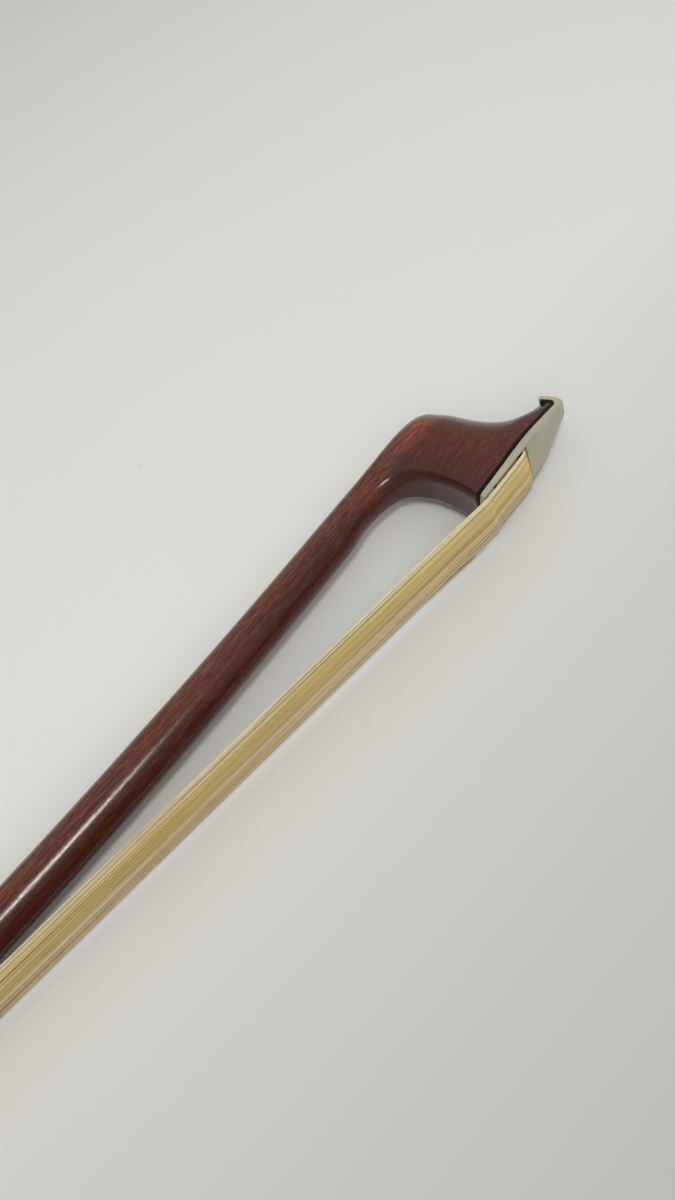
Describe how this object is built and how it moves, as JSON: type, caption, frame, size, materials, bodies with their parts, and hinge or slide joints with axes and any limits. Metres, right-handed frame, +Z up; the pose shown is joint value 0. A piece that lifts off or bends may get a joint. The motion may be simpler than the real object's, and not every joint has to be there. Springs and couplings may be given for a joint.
{
  "type": "viola bow",
  "caption": "Viola bow lying on its side: cambered stick with faced head, band of hair, screw-tightened frog with ferrule and pearl slide, eight-sided button, leather and wire grip.",
  "frame": {"origin": "middle of the bow's box, on the plane that it lies on", "axes": "+X along the handle toward the head, -Y the hair side and +Y the stick's back, +Z up as the bow lies on its side"},
  "size_m": [0.7452, 0.0294, 0.013],
  "materials": {
    "stick_wood": "satin",
    "ebony": "satin",
    "bone": "satin",
    "plug_wood": "matte",
    "binding_thread": "matte",
    "leather": "satin",
    "silver": "satin",
    "steel": "satin",
    "brass": "satin",
    "pearl": "gloss",
    "horsehair": "satin"
  },
  "bodies": {
    "stick_body": {"stick": "stick_wood", "head_liner": "ebony", "head_plate": "bone", "head_plug": "plug_wood", "head_hair_knot": "binding_thread", "thumb_leather": "leather", "winding": "silver"},
    "screw_body": {"screw": "steel", "button": "ebony", "button_front_ring": "silver", "button_end_ring": "silver", "button_pearl": "pearl"},
    "frog_body": {"frog": "ebony", "underslide": "silver", "underslide_pin_1": "silver", "underslide_pin_2": "silver", "eyelet": "brass", "heel_plate_back": "silver", "heel_plate_under": "silver", "heel_pin_1": "silver", "heel_pin_2": "silver", "heel_pin_3": "silver", "heel_pin_4": "silver", "pearl_slide": "pearl", "slide_backing": "ebony", "eye_ring_top": "silver", "eye_pearl_top": "pearl", "eye_ring_under": "silver", "eye_pearl_under": "pearl", "ferrule": "silver", "spreader_wedge": "plug_wood", "frog_plug": "plug_wood", "frog_hair_knot": "binding_thread", "hair": "horsehair"}
  },
  "joints": [
    {"name": "screw_turn", "type": "hinge", "parent": "stick_body", "child": "screw_body", "pos_m": [-0.36563, 0.0088, 0.0065], "axis": [1, 0, 0], "range_deg": [-1080, 3600]},
    {"name": "frog_slide", "type": "slide", "parent": "stick_body", "child": "frog_body", "axis": [1, 0, 0], "range_m": [-0.007, 0.0021], "deforming": ["hair"]}
  ],
  "couplings": [
    {"joint": "screw_turn", "follows": "frog_slide", "rad_per_m": -8976}
  ]
}
